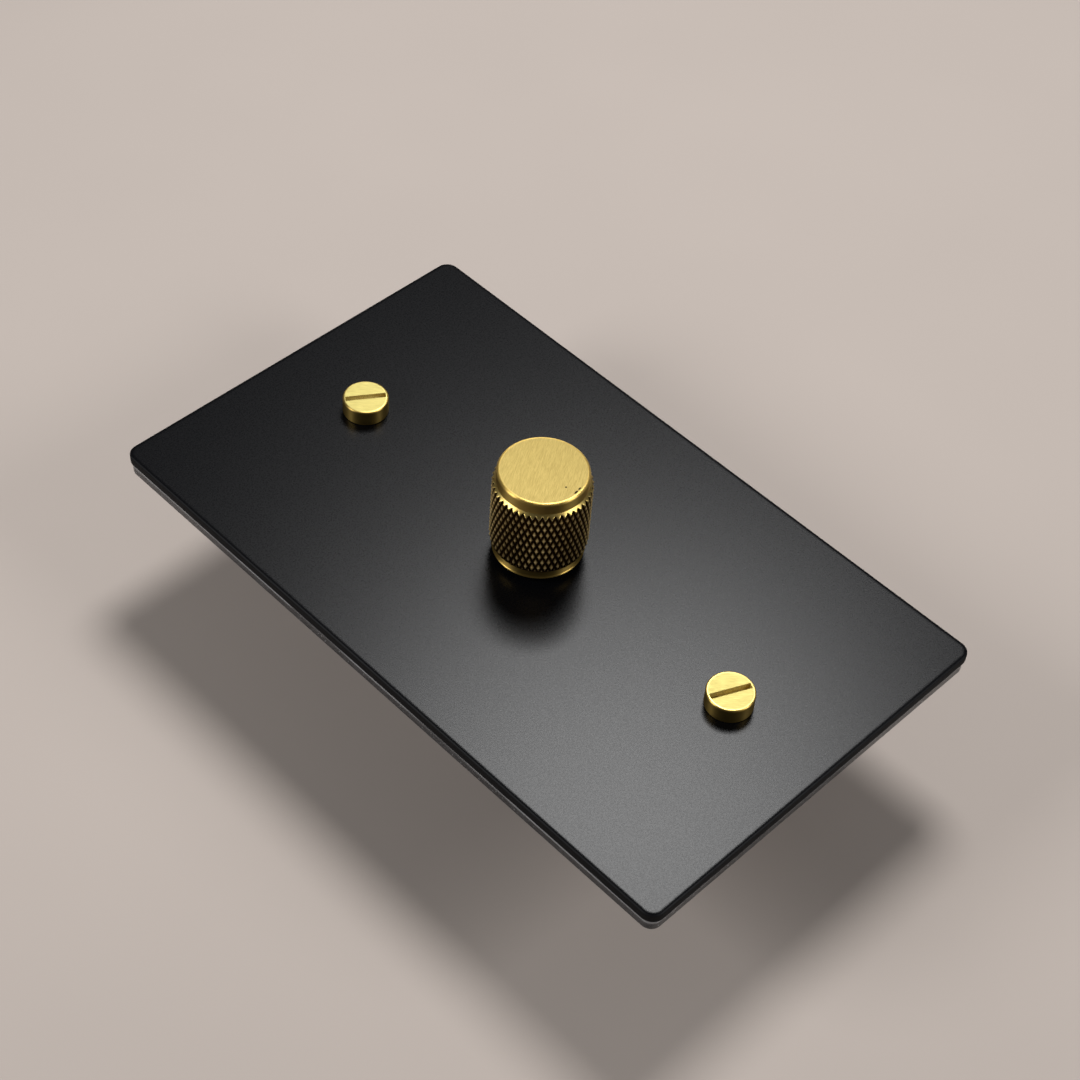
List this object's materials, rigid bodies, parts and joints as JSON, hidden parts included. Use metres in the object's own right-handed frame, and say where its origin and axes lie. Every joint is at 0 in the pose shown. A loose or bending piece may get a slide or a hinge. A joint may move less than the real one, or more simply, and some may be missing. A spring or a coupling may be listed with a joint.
{
  "type": "rotary dimmer switch",
  "caption": "Wall dimmer with a flat black metal plate, a smoked backing plate, slotted brass screws and a knurled brass knob that turns to dim and pushes to switch.",
  "frame": {"origin": "centre of the wall plane, on the knob's axis, midway between the two box screws", "axes": "+Z out of the wall along the knob's axis; +Y along the plate's long side; +X across the plate"},
  "size_m": [0.0724, 0.121, 0.0465],
  "materials": {
    "black_coat": "fine satin powder coat",
    "smoked_plastic": "polished, smoked and see-through at its edge",
    "brass": "brushed, unlacquered",
    "red_fibre": "vulcanised fibre",
    "aluminium": "rolled sheet, as stamped",
    "steel": "zinc plated",
    "cast_zinc": "die-cast, tumbled",
    "tinned_metal": "tin plated",
    "spring_metal": "rolled spring strip",
    "grey_moulding": "fine spark texture",
    "black_moulding": "fine spark texture",
    "brown_moulding": "phenolic moulding",
    "white_moulding": "nylon moulding",
    "board": "solder mask on glass laminate",
    "core": "lacquered powdered iron",
    "copper": "enamelled copper wire",
    "yellow_moulding": "moulded case",
    "brown_lacquer": "dipped coat",
    "beige_lacquer": "lacquered body",
    "glass": "clear",
    "black_epoxy": "moulded epoxy on a tinned tab",
    "grey_pad": "silicone pad"
  },
  "bodies": {
    "root": {"face_plate": "black_coat", "backing_plate": "smoked_plastic", "face_plate_screws": "brass", "screw_retainers": "red_fibre", "mounting_yoke": "aluminium", "lock_washer": "steel", "bushing_nut": "steel", "front_cover": "grey_moulding", "rear_housing": "black_moulding", "housing_screws": "steel", "control_bushing": "cast_zinc", "control_case": "brown_moulding", "resistance_wafer": "brown_moulding", "wafer_pins": "tinned_metal", "switch_base": "brown_moulding", "switch_contacts": "tinned_metal", "snap_dome": "spring_metal", "circuit_board": "board", "choke_core": "core", "choke_winding": "copper", "film_capacitor": "yellow_moulding", "timing_capacitor": "brown_lacquer", "resistors": "beige_lacquer", "trigger_diode": "glass", "fuse": "glass", "fuse_clips": "tinned_metal", "triac": "black_epoxy", "triac_pad": "grey_pad", "triac_screw": "steel", "triac_nut": "steel", "terminal_block": "grey_moulding", "terminal_clamps": "brass", "terminal_screws": "steel"},
    "rotor": {"rotor": "white_moulding", "wiper": "spring_metal"},
    "shaft": {"shaft": "brass", "shaft_clip": "steel", "knob": "brass", "knob_grub_screw": "steel"},
    "plunger": {"switch_plunger": "white_moulding"}
  },
  "joints": [
    {"name": "dim_turn", "type": "hinge", "parent": "root", "child": "rotor", "pos_m": [0, 0, 0], "axis": [0, 0, 1], "range_deg": [-135, 135]},
    {"name": "knob_push", "type": "slide", "parent": "rotor", "child": "shaft", "axis": [0, 0, -1], "range_m": [0, 0.0007], "stiffness_N_per_m": 1500, "springref_m": -0.003},
    {"name": "switch_travel", "type": "slide", "parent": "root", "child": "plunger", "axis": [0, 0, -1], "range_m": [0, 0.0007], "deforming": ["snap_dome"]}
  ],
  "couplings": [
    {"joint": "switch_travel", "follows": "knob_push", "ratio": 1}
  ]
}
